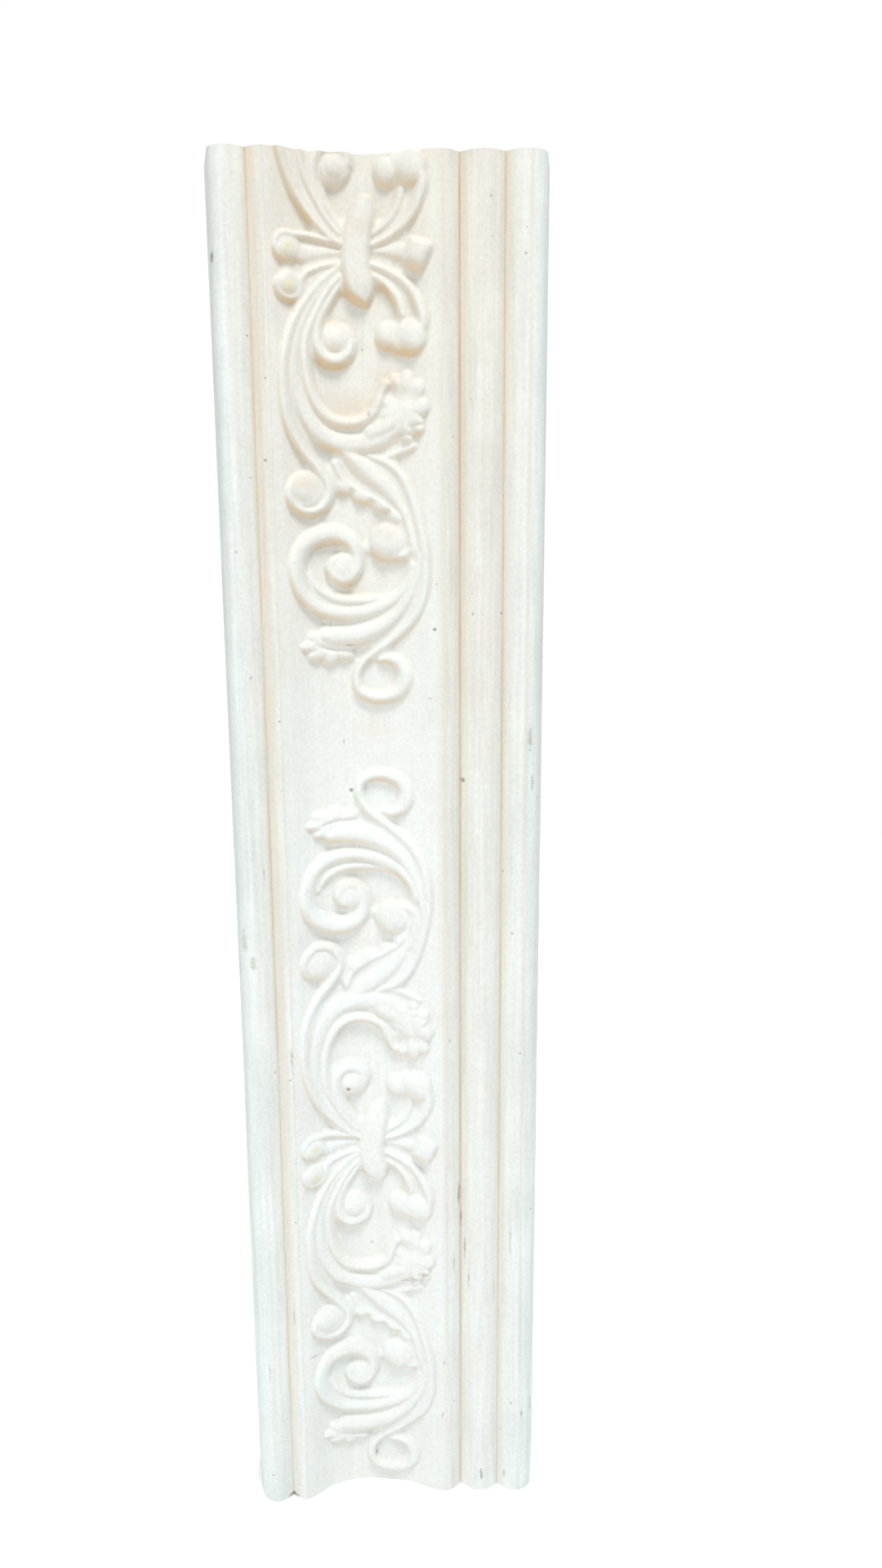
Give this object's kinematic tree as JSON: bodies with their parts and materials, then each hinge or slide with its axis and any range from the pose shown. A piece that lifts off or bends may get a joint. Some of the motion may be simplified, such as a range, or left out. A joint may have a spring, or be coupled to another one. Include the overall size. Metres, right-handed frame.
{
  "type": "crown moulding length",
  "caption": "Straight length of cast plaster crown moulding: scrolling leaf relief in a shallow cove, with plain rounds and beads along both edges.",
  "frame": {"origin": "middle of the flat back face, halfway along the length", "axes": "+Z along the length, towards the end that is at the top in the picture; -Y out of the ornamented face, so +Y goes into the wall; +X to the right, seen from the front"},
  "size_m": [0.1812, 0.0576, 0.788],
  "materials": {
    "plaster": null
  },
  "bodies": {
    "root": {"crown_moulding": "plaster"}
  },
  "joints": []
}
